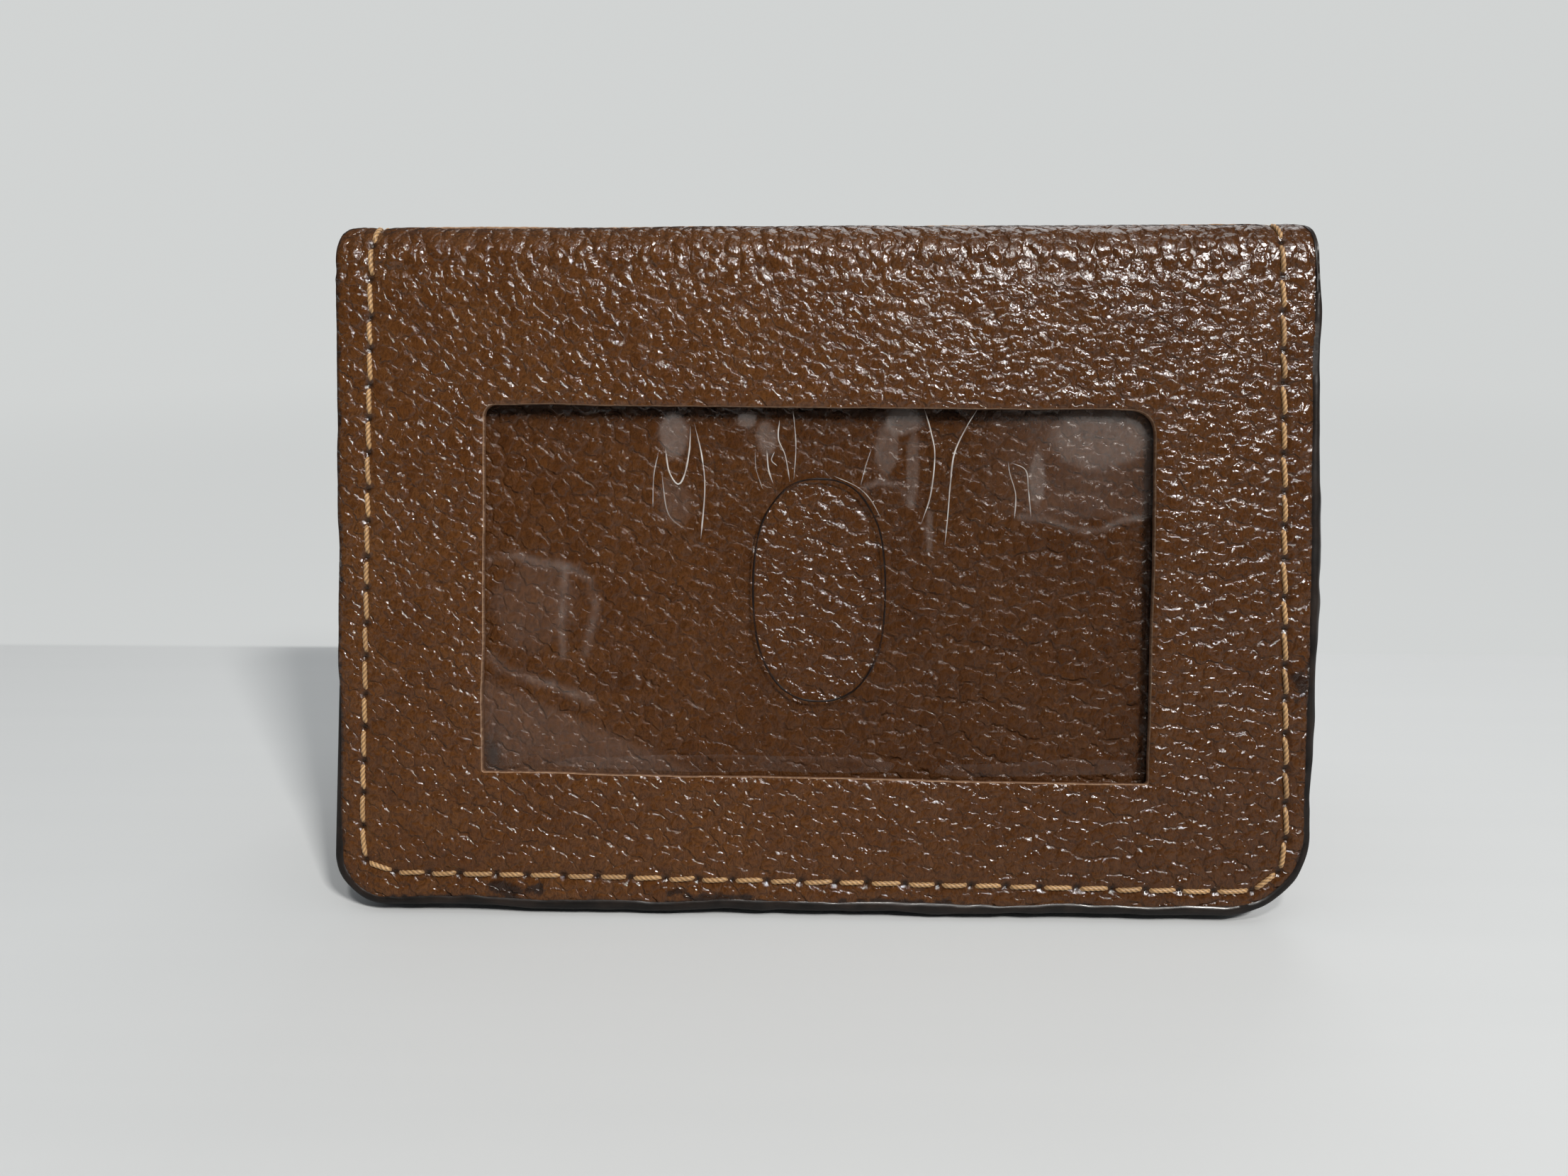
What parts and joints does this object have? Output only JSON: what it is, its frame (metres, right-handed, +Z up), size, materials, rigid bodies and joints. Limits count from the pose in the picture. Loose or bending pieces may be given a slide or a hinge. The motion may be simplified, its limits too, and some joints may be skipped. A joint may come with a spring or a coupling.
{
  "type": "card holder",
  "caption": "Leather card holder folded at the top and standing as a tent, with a rectangular ID window behind clear film with an oval thumb hole, and card pockets inside.",
  "frame": {"origin": "middle of the footprint, on the surface that the tent stands on", "axes": "+X along the fold, +Y from the front half with the window to the rear half, +Z up"},
  "size_m": [0.102, 0.0434, 0.0691],
  "materials": {
    "cover_leather": "pebble grain, semi-gloss",
    "pocket_leather": "pebble grain, satin",
    "lining_fabric": "plain weave, matte",
    "clear_film": "clear, glossy",
    "thread": "twisted thread, waxed",
    "edge_paint": "burnished, glossy"
  },
  "bodies": {
    "front_half": {"front_cover": "cover_leather", "window_film": "clear_film", "front_interlining": "lining_fabric", "id_backing": "pocket_leather", "front_pocket_upper": "pocket_leather", "front_pocket_lower": "pocket_leather", "front_stitching": "thread", "front_bobbin_stitching": "thread", "front_edge_paint": "edge_paint"},
    "spine": {"spine_leather": "cover_leather", "spine_lining": "lining_fabric", "spine_stitching": "thread", "spine_bobbin_stitching": "thread", "spine_edge_paint": "edge_paint"},
    "rear_half": {"rear_cover": "cover_leather", "rear_lining": "lining_fabric", "rear_pocket_back": "pocket_leather", "rear_pocket_upper": "pocket_leather", "rear_pocket_lower": "pocket_leather", "rear_stitching": "thread", "rear_bobbin_stitching": "thread", "rear_edge_paint": "edge_paint"}
  },
  "joints": [
    {"name": "front_fold", "type": "hinge", "parent": "front_half", "child": "spine", "pos_m": [0, -0.00262, 0.06793], "axis": [1, 0, 0], "range_deg": [-15, 75]},
    {"name": "rear_fold", "type": "hinge", "parent": "spine", "child": "rear_half", "pos_m": [0, 0.00262, 0.06793], "axis": [1, 0, 0], "range_deg": [-15, 75]}
  ],
  "couplings": [
    {"joint": "rear_fold", "follows": "front_fold", "ratio": 1}
  ]
}
